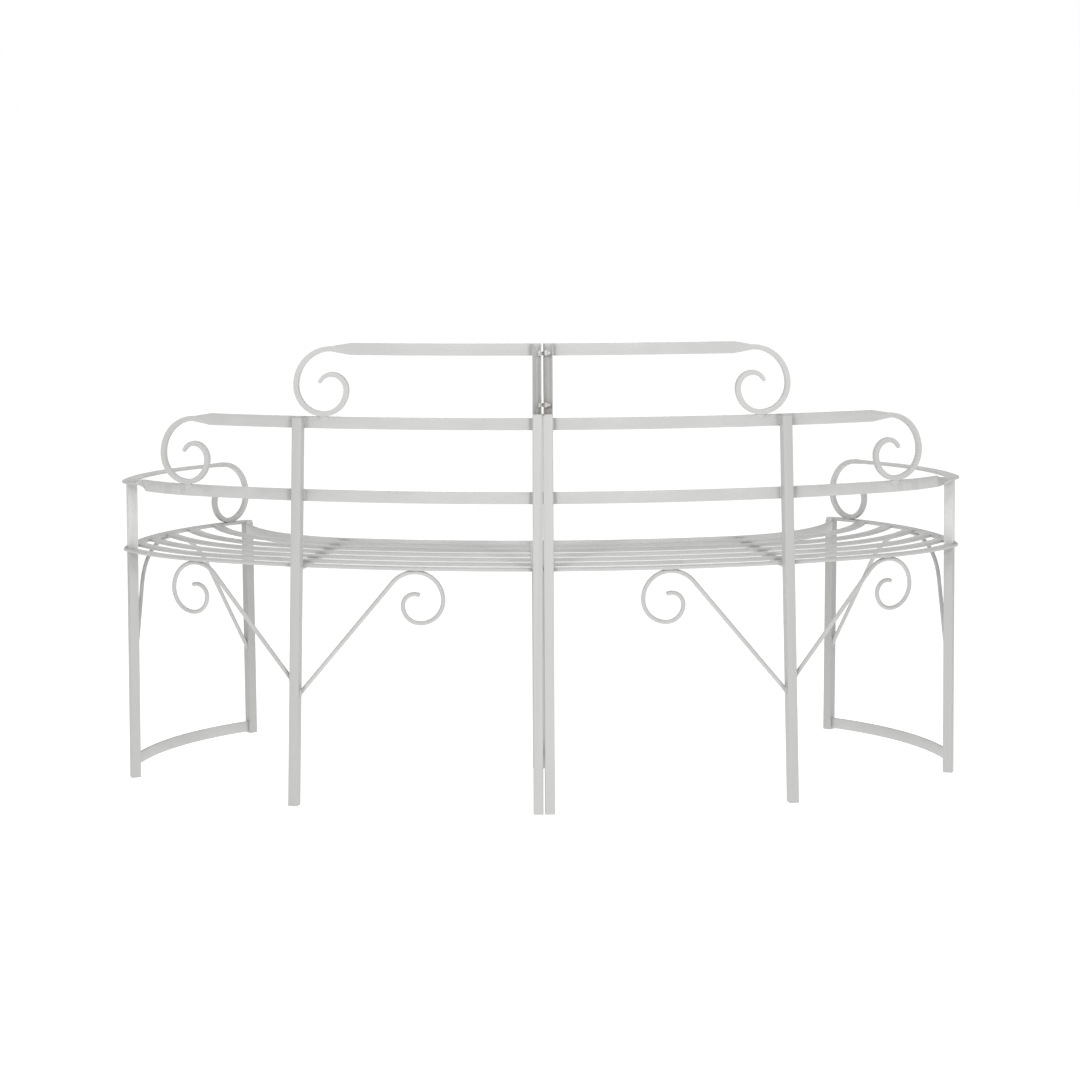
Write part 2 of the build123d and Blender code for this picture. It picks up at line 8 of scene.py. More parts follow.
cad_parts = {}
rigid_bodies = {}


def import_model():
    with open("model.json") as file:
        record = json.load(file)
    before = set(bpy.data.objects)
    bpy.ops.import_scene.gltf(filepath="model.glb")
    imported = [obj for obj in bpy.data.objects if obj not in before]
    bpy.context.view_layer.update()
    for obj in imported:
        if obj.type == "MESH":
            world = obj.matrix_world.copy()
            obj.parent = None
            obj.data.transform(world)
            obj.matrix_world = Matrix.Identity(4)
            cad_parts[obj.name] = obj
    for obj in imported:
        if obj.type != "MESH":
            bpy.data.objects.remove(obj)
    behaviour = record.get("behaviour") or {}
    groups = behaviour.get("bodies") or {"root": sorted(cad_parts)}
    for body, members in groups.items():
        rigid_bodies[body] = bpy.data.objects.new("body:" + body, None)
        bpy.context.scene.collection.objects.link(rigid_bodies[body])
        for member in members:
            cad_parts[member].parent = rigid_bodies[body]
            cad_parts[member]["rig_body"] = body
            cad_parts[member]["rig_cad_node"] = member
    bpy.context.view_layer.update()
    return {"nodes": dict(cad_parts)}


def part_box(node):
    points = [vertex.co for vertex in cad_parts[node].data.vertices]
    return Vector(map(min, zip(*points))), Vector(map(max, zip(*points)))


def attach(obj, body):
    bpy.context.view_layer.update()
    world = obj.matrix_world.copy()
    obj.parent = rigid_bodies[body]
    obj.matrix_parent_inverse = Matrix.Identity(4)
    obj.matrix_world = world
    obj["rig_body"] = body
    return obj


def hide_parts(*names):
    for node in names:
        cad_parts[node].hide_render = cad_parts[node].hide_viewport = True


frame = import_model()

bl_info = {
    "name": "Curved Garden Bench",
    "version": (1, 0, 0),
    "blender": (4, 5, 0),
    "location": "View3D > Sidebar > Bench",
    "description": "Dresses the bench frame: scrolled rails, bent rods, softened bars, welds and paint",
    "category": "Object",
}

SIDES = ("right", "left")

# Levels and places read from the frame, in metres
BACK_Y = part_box("centre_post_right")[1][1]
BENCH_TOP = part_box("centre_post_right")[1][2]
MIDDLE_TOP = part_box("middle_rail_right")[1][2]
SEAT_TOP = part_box("seat_end_bar_right")[1][2]
SEAT_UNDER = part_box("seat_end_bar_right")[0][2]

# Direction in degrees toward which the bend over the arm post is centred
ARM_START_TURN = 100.0

# Rows of a drawn-down or twisted stretch
DRAW_ROWS = 6
TWIST_ROWS = 20

# Tips of scrolls and braces: rows, narrowing by each, then length and narrowing of the rounded end
TIP_ROWS = 5
TIP_NARROWING = 0.92
TIP_ROUNDING = ((0.0018, 0.86), (0.0012, 0.62))
BRACE_ROUNDING = (0.0010, 0.8)

# Distances within which points are merged
SAME_POINT = 0.00001
END_SEAM = 0.00002
BAR_SEAM = 0.0002
ARM_SEAM = 0.0006

# Degrees: edges shaded smooth, faces taken as one flat, edges that are rolled
BAR_SMOOTH = 35.0
CUT_SMOOTH = 40.0
ROUND_SMOOTH = 60.0
FLAT_LIMIT = 0.4
EDGE_LIMIT = 32.0

# Weld beads: section of the tip, start as a share of the bar's width, length and factor of each row
BEAD_TIP = 0.0012
BEAD_SIDES = 12
BEAD_FROM = 0.45
BEAD_START = ((0.0008, 1.5), (0.0010, 1.25))
BEAD_RIPPLE = ((0.0006, 0.93), (0.0006, 1.075))
BEAD_RIPPLES = 12
BEAD_END = ((0.0010, 0.8), (0.0008, 0.66))

# Places of the beads: off the side and face of a post, off a stretcher and along it by a share of the tube
POST_BEAD_OFF = 0.0008
STRETCHER_BEAD_OFF = 0.0006
STRETCHER_BEAD_ALONG = 0.62

# Weld blobs: half their size along the bar, across it and upward, and where they sit
FOOT_WELD = (0.0095, 0.0041, 0.0066)
FOOT_WELD_DROP = 0.002
SEAT_WELD = (0.0085, 0.0045, 0.0028)
BRACE_WELD = (0.0030, 0.0052, 0.0078)
BRACE_WELD_OFF = 0.001
CROWN_WELD = (0.0100, 0.0046, 0.0028)
ARM_POST_WELD = (0.0074, 0.0039, 0.0017)
ARM_POST_WELD_IN = (0.0067, 0.0052, 0.0004)
ARM_POST_WELD_TURN = 65.0

# Paint: depth of its skin, scales of its noise, stretch of the streaks, bump and gloss
PAINT_SKIN = 0.00025
MOTTLE_SCALE = 9.0
STREAK_SCALE = 260.0
PEBBLE_SCALE = 520.0
ALONG_THE_BARS = (0.12, 0.12, 1.0)
DOWN_THE_TUBES = (1.0, 1.0, 0.06)
BAR_BUMP = 0.14
BAR_GLOSS = 0.45
WELD_BUMP = 0.3
PLUG_BUMP = 0.15

# Bands of the paint's noise, and the amounts onto which they are mapped
MOTTLE_BAND = (0.35, 0.72, 0.0, 0.55)
STREAK_BAND = (0.45, 0.8, 0.0, 0.35)
ROUGHNESS_BAND = (0.0, 1.0, 0.36, 0.52)
CORNER_BAND = (0.52, 0.66)

# Painted shadow on the back's bars beside the posts: edges of the posts from their middle, where it ends and
# is full, depth of the bars
CENTRE_POSTS_EDGE = 0.0185
MID_POST_EDGE = 0.0115
SHADOW_END = 0.010
SHADOW_FULL = 0.003
BACK_DEPTH = 0.024

# Joint window: its height, then where the painted light inside it, the painted shadow on its right wall and
# the stain begin and are full
WINDOW_HEIGHT = 0.127
INSIDE_DEPTH = (0.0012, 0.0022)
WALL_SHADOW_REACH = 0.003
STAIN_REACH = (0.0034, 0.0018)
STAIN_BELOW = (0.070, 0.110)
STAIN_AMOUNT = (0.05, 0.75)

# Stage: the floor, the glow of floor and room, and where the room goes over into white
FLOOR_SIZE = 300.0
FLOOR_DROP = 0.0005
FLOOR_GLOW = 0.92
ROOM_GLOW = 0.34
WALL_EDGE = (0.80, 0.955)
SKIRTING_EDGE = (0.24, 0.06)

# Lights: place, aim, size in metres and power in watts; the key light stands on both sides
KEY_LIGHT = ((0.8, -2.7, 1.75), (0.0, -0.3, 0.7), 0.5, 16.0)
TOP_LIGHT = ((0.0, -0.1, 3.2), (0.0, 0.0, 0.45), 2.6, 40.0)

# Camera: place, then yaw, pitch and roll in radians, lens and sensor in millimetres
CAMERA_SPOT = (-0.0447, BACK_Y - 4.4, 1.09745)
CAMERA_TURNS = (-0.0089, 0.1356, -0.0042)
CAMERA_LENS = 83.1
CAMERA_SENSOR = 36.0


def length(name, text, default):
    """A size in metres for the sidebar."""
    return FloatProperty(name=name, description=text, default=default, unit="LENGTH", precision=4)


def angle(name, text, default):
    """An angle in degrees."""
    return FloatProperty(name=name, description=text, default=default, precision=2)


def colour(name, text, default):
    """A paint or metal colour."""
    return FloatVectorProperty(name=name, description=text, default=default, subtype="COLOR",
                               size=4, min=0.0, max=1.0)


class BenchSizes(bpy.types.PropertyGroup):
    """Stock and bends of the bench."""
    tube: length("Tube", "Outside of the square tube", 0.018)
    bar_width: length("Bar width", "Width of the flat bar", 0.0215)
    bar_thick: length("Bar thickness", "Thickness of the flat bar", 0.005)
    bar_round: length("Bar edge", "Radius rolled on the edges of the flat bar", 0.0007)
    rod: length("Rod", "Diameter of the brace rod", 0.008)
    half_gap: length("Half gap", "Half the gap between the two halves at the lower bolt", 0.00015)
    wall_set_back: length("Wall set-back", "Bolted wall, behind the side of its post", 0.00145)
    centre_post_lean: angle("Centre post lean", "Lean of the centre post, foot outward", 0.1)
    back_radius: length("Back radius", "Radius of the back where the rails meet the posts", 1.410)
    tier: length("Tier", "Rise from one back rail to the next", 0.132)
    end_leg_x: length("End leg X", "End leg, from the middle", 0.7835)
    end_leg_y: length("End leg Y", "End leg, forward from the back posts", 0.303)
    front_leg_x: length("Front leg X", "Front leg, from the middle", 0.603)
    front_leg_y: length("Front leg Y", "Front leg, forward from the back posts", 0.706)
    corner_radius: length("Corner radius", "Bend over the end leg", 0.030)
    back_end_turn: angle("Back end turn", "Direction of the back bars at the end leg", 57.0)
    end_bar_turn: angle("End bar turn", "Direction of the end bar as it leaves the end leg", 88.5)
    top_rail_x: length("Top rail", "Where the flat part of the top rail stops", 0.341)
    middle_rail_x: length("Middle rail", "Where the flat part of the middle rail stops", 0.604)
    draw: length("Draw", "Length over which a bar end is drawn down", 0.036)
    scroll_width: length("Scroll bar", "Bar end after drawing down, across flats", 0.0092)
    scroll_lower: length("Scroll lower", "Second radius of a scroll", 0.050)
    back_return: length("Back scroll return", "Third radius of the back's scrolls", 0.044)
    back_inner: length("Back scroll inner", "Fourth radius of the back's scrolls", 0.027)
    arm_return: length("Arm scroll return", "Third radius of the arm's scroll", 0.041)
    arm_inner: length("Arm scroll inner", "Fourth radius of the arm's scroll", 0.024)
    scroll_tip: length("Scroll tip", "Last radius of a scroll", 0.025)
    scroll_tip_turn: angle("Scroll tip turn", "Degrees bent at the last radius", 62.0)
    twist: length("Twist", "Straight part of the quarter twist before the arm", 0.035)
    twist_lead: length("Twist lead", "Part of the twist still on the bow of the rail", 0.037)
    twist_flat: length("Twist flat", "Flat straight part between the twist and the arm post", 0.016)
    arm_corner: length("Arm corner", "Bend of the arm over its post", 0.025)
    arm_finish_turn: angle("Arm finish", "Direction of the arm where it is drawn down", 128.0)
    arm_fall: length("Arm fall", "Drop of the arm from its post to its scroll", 0.007)
    arm_scroll_back: length("Arm scroll back", "Arm scroll contact, back from the front leg", 0.044)
    mid_post_x: length("Mid post X", "Middle post, from the middle", 0.445)
    mid_post_lean: angle("Mid post lean", "Lean of the middle post, foot outward", 1.7)
    inner_brace_foot: length("Inner brace foot", "Height of the inner brace on its post", 0.198)
    inner_brace_slope: angle("Inner brace slope", "Slope of the inner brace", 50.0)
    outer_brace_foot: length("Outer brace foot", "Height of the outer brace on its post", 0.225)
    outer_brace_slope: angle("Outer brace slope", "Slope of the outer brace", 48.0)
    brace_crown: length("Brace crown", "Bend under the seat rail", 0.056)
    brace_lower: length("Brace lower", "Second radius of a brace scroll", 0.050)
    brace_return: length("Brace return", "Third radius of a brace scroll", 0.043)
    brace_inner: length("Brace inner", "Fourth radius of a brace scroll", 0.031)
    brace_tip: length("Brace tip", "Last radius of a brace scroll", 0.022)
    brace_tip_turn: angle("Brace tip turn", "Degrees bent at the last radius", 112.0)
    arch_foot: length("Arch foot", "Height where the arch meets its legs", 0.168)
    arch_rise: angle("Arch rise", "Slope of the straight parts of the arch", 64.0)
    edge: length("Edge", "Softening of the cut bar edges", 0.0006)
    hex_flats: length("Hexagon", "Bolt heads and nuts, across flats", 0.010)
    rod_sides: IntProperty(name="Rod sides", description="Sides of the rod section", default=24, min=8)
    bend_step: angle("Bend step", "Degrees between two rows of a bend", 5.0)


class BenchFinish(bpy.types.PropertyGroup):
    """Colours of the paint, bolts and stage."""
    paint: colour("Paint", "Off-white paint", (0.522, 0.522, 0.514, 1.0))
    shade: colour("Paint in the hollows", "Paint where it is thinner or dusty", (0.455, 0.455, 0.44, 1.0))
    # Painted shade: the posts' paint is darker than the bars' for the dimmer light lower down
    post: colour("Post paint", "Shaded paint on the tubes", (0.482, 0.482, 0.472, 1.0))
    # Painted light on the cross bars, lifting the shade under the slats; the arm posts are simply lighter
    brightened: colour("Fresh paint", "Arm posts and cross bars, out of the weather", (0.72, 0.72, 0.71, 1.0))
    worn: colour("Worn paint", "Corners rubbed bright", (0.68, 0.68, 0.67, 1.0))
    # Painted shade: darkens the front legs and the back's bars beside the posts
    dirt: colour("Shadow", "Front legs and bars beside the posts", (0.42, 0.42, 0.41, 1.0))
    stain: colour("Joint stain", "Yellowed paint in the joint gap", (0.46, 0.36, 0.20, 1.0))
    # Painted shadow: the dark line on the right centre post's wall inside the joint
    grime: colour("Joint grime", "Wall of the right centre post inside the joint", (0.09, 0.09, 0.085, 1.0))
    steel: colour("Bolt", "Zinc under worn paint", (0.60, 0.60, 0.58, 1.0))
    plug: colour("Foot plug", "Plastic foot plugs", (0.42, 0.42, 0.41, 1.0))
    floor: colour("Floor", "Studio floor", (0.40, 0.40, 0.40, 1.0))


def sizes():
    return bpy.context.scene.bench_sizes


def finish():
    return bpy.context.scene.bench_finish


# Plan geometry, in metres; y is measured forward from the back posts

def heading(turn):
    return cos(radians(turn)), sin(radians(turn))


def on_arc(centre, radius, turn):
    c, s = heading(turn)
    return centre[0] + radius * s, centre[1] - radius * c


def bow(apex, radius, end, end_turn):
    """Two tangent plan arcs from the middle of the bench to END."""
    c1 = (0.0, apex + radius)
    qx, qy = end[0] - c1[0], end[1] - c1[1]
    c, s = heading(end_turn)
    r2 = (radius**2 - qx**2 - qy**2) / (2 * (radius - qx * s + qy * c))
    c2 = (end[0] - r2 * s, end[1] + r2 * c)
    turn = degrees(atan2(c2[0] - c1[0], c1[1] - c2[1]))
    return (c1, radius, 0.0, turn), (c2, r2, turn, end_turn)


def corner_arc(size, r, turn0, turn1):
    """Bend centred over the end leg."""
    c, s = heading((turn0 + turn1) / 2)
    return (size.end_leg_x - r * s, size.end_leg_y + r * c), r, turn0, turn1


def end_bar_arc(size):
    """Middle line of the seat end bar, from the end leg to the front leg."""
    c, r, _, last = corner_arc(size, size.corner_radius, size.back_end_turn, size.end_bar_turn)
    x, y = on_arc(c, r, last)
    dx, dy = size.front_leg_x - x, size.front_leg_y - y
    half_turn = degrees(atan2(dy, dx)) - size.end_bar_turn
    radius = hypot(dx, dy) / (2 * sin(radians(half_turn)))
    cs, sn = heading(size.end_bar_turn)
    return (x - radius * sn, y + radius * cs), radius, size.end_bar_turn, size.end_bar_turn + 2 * half_turn


def rail_arcs(size):
    """Middle line of the arm rail while it stands on edge."""
    c, r, first, _ = corner_arc(size, size.arm_corner, size.back_end_turn, ARM_START_TURN)
    x, y = on_arc(c, r, first)
    cs, sn = heading(first)
    end = (x - size.twist * cs, y - size.twist * sn)
    half = size.bar_thick / 2
    return bow(half, size.back_radius - half, end, first)


def arm_arcs(size, level):
    """Bend over the arm post and the bowed arm, as plan arcs."""
    centre, bend_r, turn0, _ = corner_arc(size, size.arm_corner, size.back_end_turn, ARM_START_TURN)
    c, r, _, last = end_bar_arc(size)
    contact = on_arc(c, r, last - degrees(size.arm_scroll_back / r))
    fx, fy = heading(size.arm_finish_turn)
    lead = level - size.arm_fall - SEAT_TOP - size.scroll_width / 2 - 2 * size.scroll_lower + size.draw
    stop = (contact[0] - lead * fx, contact[1] - lead * fy)
    qx, qy = stop[0] - centre[0], stop[1] - centre[1]
    radius = (qx**2 + qy**2 - bend_r**2) / (2 * (qx * fy - qy * fx - bend_r))
    arm_centre = (stop[0] - radius * fy, stop[1] + radius * fx)
    turn = degrees(atan2(centre[0] - arm_centre[0], arm_centre[1] - centre[1]))
    return (centre, bend_r, turn0, turn), (arm_centre, radius, turn, size.arm_finish_turn)


# Bars bent from a section, as a smith would: one move after another

def clear_selection():
    if bpy.context.object and bpy.context.object.mode != "OBJECT":
        bpy.ops.object.mode_set(mode="OBJECT")
    bpy.ops.object.select_all(action="DESELECT")


def pick(piece):
    """Makes a piece the only selected one, and the active one."""
    clear_selection()
    piece.select_set(True)
    bpy.context.view_layer.objects.active = piece


def edit_all():
    """Opens the active piece for editing with all of its mesh selected."""
    bpy.ops.object.mode_set(mode="EDIT")
    bpy.ops.mesh.select_all(action="SELECT")


def flat_section(width, height, rounding):
    """Outline of a bar across local Y and Z at the origin, its corners rolled."""
    clear_selection()
    bpy.ops.mesh.primitive_plane_add(size=1.0, rotation=(0, pi / 2, 0))
    bpy.ops.object.transform_apply()
    bpy.ops.object.mode_set(mode="EDIT")
    bpy.ops.transform.resize(value=(1, width, height), center_override=(0, 0, 0))
    bpy.ops.mesh.delete(type="ONLY_FACE")
    bpy.ops.mesh.select_all(action="SELECT")
    bpy.ops.mesh.bevel(offset=rounding, segments=3, affect="VERTICES")
    bpy.ops.mesh.select_all(action="SELECT")


def round_section(diameter, sides):
    clear_selection()
    bpy.ops.mesh.primitive_circle_add(vertices=sides, radius=diameter / 2, fill_type="NOTHING",
                                      rotation=(0, pi / 2, 0))
    bpy.ops.object.transform_apply()
    edit_all()


class Bender:
    """Carries a section along local X, bending it down in the XZ plane or to the left in the XY plane."""

    def __init__(self, step, level=False):
        self.step = step
        self.level = level
        self.at = Vector((0.0, 0.0, 0.0))
        self.aim = 0.0

    def direction(self):
        c, s = heading(self.aim)
        return Vector((c, s, 0.0)) if self.level else Vector((c, 0.0, s))

    def run(self, distance):
        move = self.direction() * distance
        bpy.ops.mesh.extrude_region_move(TRANSFORM_OT_translate={"value": move})
        self.at += move

    def bend(self, radius, amount):
        """Bends by AMOUNT degrees: to the left in plan, or downward in elevation."""
        ahead = self.direction()
        left = Vector((-ahead.y, ahead.x, 0.0)) if self.level else Vector((ahead.z, 0.0, -ahead.x))
        centre = self.at + left * radius
        axis = Vector((0.0, 0.0, 1.0)) if self.level else Vector((0.0, 1.0, 0.0))
        steps = max(1, ceil(amount / self.step))
        bpy.ops.mesh.spin(steps=steps, angle=-radians(amount), center=centre, axis=axis)
        self.at = centre + Matrix.Rotation(radians(amount), 3, axis) @ (self.at - centre)
        self.aim += amount if self.level else -amount

    def draw(self, distance, across, tall, rows):
        """Draws the bar out over DISTANCE while its section changes by the two factors."""
        for i in range(rows):
            self.run(distance / rows)
            old, new = i / rows, (i + 1) / rows
            scale = [(1 + (f - 1) * new) / (1 + (f - 1) * old) for f in (across, tall)]
            bpy.ops.transform.resize(value=(1, scale[0], scale[1]), center_override=self.at)

    def twist(self, distance, amount, rows):
        """Twists the bar about itself, quickly at first, as one gripped in a vice does."""
        for i in range(rows):
            self.run(distance / rows)
            share = (1 - i / rows) ** 2 - (1 - (i + 1) / rows) ** 2
            bpy.ops.transform.rotate(value=radians(amount * share), orient_axis="X", center_override=self.at)

    def narrow(self, factor):
        bpy.ops.transform.resize(value=(factor, factor, factor), center_override=self.at)

    def taper(self, distance, factor):
        self.run(distance)
        self.narrow(factor)


def close_bar(name):
    """Ends the bar being bent: both ends filled, faces outward."""
    bpy.ops.mesh.select_all(action="SELECT")
    bpy.ops.mesh.remove_doubles(threshold=END_SEAM)
    bpy.ops.mesh.fill_holes(sides=0)
    bpy.ops.mesh.select_all(action="SELECT")
    bpy.ops.mesh.normals_make_consistent(inside=False)
    bpy.ops.object.mode_set(mode="OBJECT")
    piece = bpy.context.object
    piece.name = name
    piece.data.name = name
    return piece


def end_section():
    """Leaves edit mode with the bar still open, to be joined to the next one."""
    bpy.ops.object.mode_set(mode="OBJECT")
    return bpy.context.object


def place(piece, x, y, z, rotation):
    """Sets a bar made at the origin where it belongs and applies that to its mesh."""
    pick(piece)
    piece.location = (x, y + BACK_Y, z)
    piece.rotation_euler = [radians(a) for a in rotation]
    bpy.ops.object.transform_apply()
    return piece


def join(name, pieces, merge=BAR_SEAM):
    """Joins open bars end to end into one closed piece."""
    clear_selection()
    for piece in pieces:
        piece.select_set(True)
    bpy.context.view_layer.objects.active = pieces[0]
    bpy.ops.object.join()
    edit_all()
    bpy.ops.mesh.remove_doubles(threshold=merge)
    return close_bar(name)


def mirrored(piece, name):
    """Copy of a right-hand piece for the left half."""
    pick(piece)
    bpy.ops.object.duplicate()
    copy = bpy.context.object
    copy.scale = (-1, 1, 1)
    bpy.ops.object.transform_apply()
    edit_all()
    bpy.ops.mesh.normals_make_consistent(inside=False)
    bpy.ops.object.mode_set(mode="OBJECT")
    copy.name = name
    copy.data.name = name
    return copy


def smooth(piece, limit=BAR_SMOOTH):
    pick(piece)
    bpy.ops.object.shade_smooth_by_angle(angle=radians(limit))


def dress(piece, material, slot, node=None):
    """Paints a piece, fixes it to the bench and lets it stand for a node of the frame."""
    piece.data.materials.clear()
    piece.data.materials.append(material)
    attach(piece, "root")
    if node:
        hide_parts(node)


def dress_pair(right, left, node, limit=BAR_SMOOTH):
    """Smooths and paints a bent bar and the one of the left half."""
    for piece, side in zip((right, left), SIDES):
        smooth(piece, limit)
        dress(piece, bar_paint(), "paint", f"{node}_{side}")


# Finishes

def feed(socket, value):
    """Links the output of another node to a socket, or sets a plain value there."""
    if isinstance(value, bpy.types.NodeSocket):
        socket.id_data.links.new(value, socket)
    else:
        socket.default_value = value


def fill(node, values):
    """Feeds the inputs of a node by name."""
    for name, value in values.items():
        feed(node.inputs[name], value)


class Wires:
    """Adds the nodes of a material or a group and returns their outputs."""

    def __init__(self, tree):
        self.nodes = tree.nodes

    def coords(self, kind="Object"):
        return self.nodes.new("ShaderNodeTexCoord").outputs[kind]

    def xyz(self, vector):
        split = self.nodes.new("ShaderNodeSeparateXYZ")
        fill(split, {"Vector": vector})
        return [split.outputs[axis] for axis in "XYZ"]

    def math(self, operation, *values):
        node = self.nodes.new("ShaderNodeMath")
        node.operation = operation
        for socket, value in zip(node.inputs, values):
            feed(socket, value)
        return node.outputs["Value"]

    def span(self, value, start, stop, low=0.0, high=1.0, smooth=False):
        """Maps START to STOP onto LOW to HIGH."""
        node = self.nodes.new("ShaderNodeMapRange")
        node.interpolation_type = "SMOOTHSTEP" if smooth else "LINEAR"
        fill(node, {"Value": value, "From Min": start, "From Max": stop, "To Min": low, "To Max": high})
        return node.outputs["Result"]

    def blend(self, amount, first, second):
        node = self.nodes.new("ShaderNodeMix")
        node.data_type = "RGBA"
        fill(node, {"Factor": amount, "A": first, "B": second})
        return node.outputs["Result"]

    def noise(self, vector, scale, detail, roughness=0.5):
        node = self.nodes.new("ShaderNodeTexNoise")
        fill(node, {"Vector": vector, "Scale": scale, "Detail": detail, "Roughness": roughness})
        return node.outputs["Fac"]


def new_group(name, inputs, outputs):
    """Empty shader group with named inputs and outputs of the given kinds."""
    tree = bpy.data.node_groups.new(name, "ShaderNodeTree")
    for direction, sockets in (("INPUT", inputs), ("OUTPUT", outputs)):
        for title, kind in sockets.items():
            tree.interface.new_socket(name=title, in_out=direction, socket_type="NodeSocket" + kind)
    return tree


def paint_group():
    """Brushed-on paint: slow mottling, fine streaks, worn corners and a slightly pebbled skin."""
    if "brushed paint" in bpy.data.node_groups:
        return bpy.data.node_groups["brushed paint"]
    inputs = {"Paint": "Color", "Shade": "Color", "Mottle": "Float", "Wear": "Float", "Stretch": "Vector"}
    tree = new_group("brushed paint", inputs, {"Colour": "Color", "Roughness": "Float", "Height": "Float"})
    wires = Wires(tree)
    source = tree.nodes.new("NodeGroupInput").outputs
    result = tree.nodes.new("NodeGroupOutput")
    coords = wires.coords()
    stretch = tree.nodes.new("ShaderNodeMapping")
    fill(stretch, {"Scale": source["Stretch"], "Vector": coords})
    mottle = wires.noise(coords, source["Mottle"], detail=5.0, roughness=0.62)
    streak = wires.noise(stretch.outputs["Vector"], STREAK_SCALE, detail=3.0)
    pebble = wires.noise(coords, PEBBLE_SCALE, detail=2.0)
    corners = tree.nodes.new("ShaderNodeNewGeometry").outputs["Pointiness"]
    worn = wires.math("MULTIPLY", wires.span(corners, *CORNER_BAND), source["Wear"])
    mottled = wires.blend(wires.span(mottle, *MOTTLE_BAND), source["Paint"], source["Shade"])
    lined = wires.blend(wires.span(streak, *STREAK_BAND), mottled, source["Shade"])
    fill(result, {"Colour": wires.blend(worn, lined, finish().worn),
                  "Roughness": wires.span(mottle, *ROUGHNESS_BAND),
                  "Height": wires.math("ADD", streak, pebble)})
    return tree


def post_shadow_group():
    """Painted shadow on the bars of the back beside the posts: 1 close to a post, 0 a finger's width away.
    """
    if "post contact" in bpy.data.node_groups:
        return bpy.data.node_groups["post contact"]
    inputs = {"Mid post foot": "Float", "Lean": "Float", "Mid post top": "Float",
              "Back centre": "Vector", "Back inside": "Float"}
    tree = new_group("post contact", inputs, {"Shadow": "Float"})
    wires = Wires(tree)
    source = tree.nodes.new("NodeGroupInput").outputs
    result = tree.nodes.new("NodeGroupOutput")
    coords = wires.coords()
    x, _, z = wires.xyz(coords)
    side = wires.math("ABSOLUTE", x)
    axis = wires.math("MULTIPLY_ADD", z, source["Lean"], source["Mid post foot"])
    beside = wires.math("ABSOLUTE", wires.math("SUBTRACT", side, axis))
    below = wires.math("LESS_THAN", z, source["Mid post top"])
    by_centre, by_mid = (wires.span(distance, edge + SHADOW_END, edge + SHADOW_FULL, smooth=True)
                         for distance, edge in ((side, CENTRE_POSTS_EDGE), (beside, MID_POST_EDGE)))
    either = wires.math("MAXIMUM", by_centre, wires.math("MULTIPLY", by_mid, below))
    level = tree.nodes.new("ShaderNodeVectorMath")
    level.operation = "MULTIPLY"
    feed(level.inputs[0], coords)
    feed(level.inputs[1], (1, 1, 0))
    reach = tree.nodes.new("ShaderNodeVectorMath")
    reach.operation = "DISTANCE"
    feed(reach.inputs[0], level.outputs["Vector"])
    feed(reach.inputs[1], source["Back centre"])
    on_back = wires.math("GREATER_THAN", reach.outputs["Value"], source["Back inside"])
    fill(result, {"Shadow": wires.math("MULTIPLY", either, on_back)})
    return tree


def as_material(recipe):
    """Makes a material, named after its recipe, when it is first asked for."""
    name = recipe.__name__.replace("_", " ")

    def made():
        if name not in bpy.data.materials:
            bpy.data.materials.new(name).use_nodes = True
            tree = bpy.data.materials[name].node_tree
            recipe(tree, tree.nodes["Principled BSDF"], finish())
        return bpy.data.materials[name]

    return made


def add_paint(tree, shader, bump, values):
    """Places the paint group in a material, sets its values and wires it to the shader."""
    group = tree.nodes.new("ShaderNodeGroup")
    group.node_tree = paint_group()
    fill(group, {"Mottle": MOTTLE_SCALE, "Stretch": ALONG_THE_BARS, **values})
    raised = tree.nodes.new("ShaderNodeBump")
    fill(raised, {"Strength": bump, "Distance": PAINT_SKIN, "Height": group.outputs["Height"]})
    fill(shader, {"Normal": raised.outputs["Normal"], "Roughness": group.outputs["Roughness"],
                  "Base Color": group.outputs["Colour"]})
    return group


@as_material
def bar_paint(tree, shader, colours):
    """Paint on bars and rods, darkened beside the posts by a painted shadow."""
    size = sizes()
    values = {"Paint": colours.paint, "Shade": colours.shade, "Wear": 0.35}
    group = add_paint(tree, shader, BAR_BUMP, values)
    low, high = (mid_post_point(size, level)[0] for level in (0.0, 1.0))
    contact = tree.nodes.new("ShaderNodeGroup")
    contact.node_tree = post_shadow_group()
    fill(contact, {"Mid post foot": low, "Lean": high - low, "Mid post top": MIDDLE_TOP,
                   "Back centre": (0.0, BACK_Y + size.back_radius, 0.0),
                   "Back inside": size.back_radius - BACK_DEPTH})
    # Painted shadow: the bars darken beside the posts, where the posts cast their shadow
    shadowed = Wires(tree).blend(contact.outputs["Shadow"], group.outputs["Colour"], colours.dirt)
    fill(shader, {"Base Color": shadowed, "Specular IOR Level": BAR_GLOSS})


def add_tube_paint(tree, shader, paint, wear=0.35):
    """Paint of the given colour, brushed up and down the tubes."""
    values = {"Paint": paint, "Shade": finish().shade, "Wear": wear, "Stretch": DOWN_THE_TUBES}
    fill(shader, {"Specular IOR Level": BAR_GLOSS})
    return add_paint(tree, shader, BAR_BUMP, values)


@as_material
def shaded_post_paint(tree, shader, colours):
    """Paint on the middle posts and the end legs, darker than the bars' as painted shade."""
    add_tube_paint(tree, shader, colours.post)


@as_material
def shaded_leg_paint(tree, shader, colours):
    """Paint on the front legs, darkened as painted shade for the shade they stand in under the seat."""
    add_tube_paint(tree, shader, colours.dirt)


@as_material
def brightened_paint(tree, shader, colours):
    """Brighter paint on the arm posts, and on the cross bars painted light that lifts the shade of the slats
    above them.
    """
    add_tube_paint(tree, shader, colours.brightened)


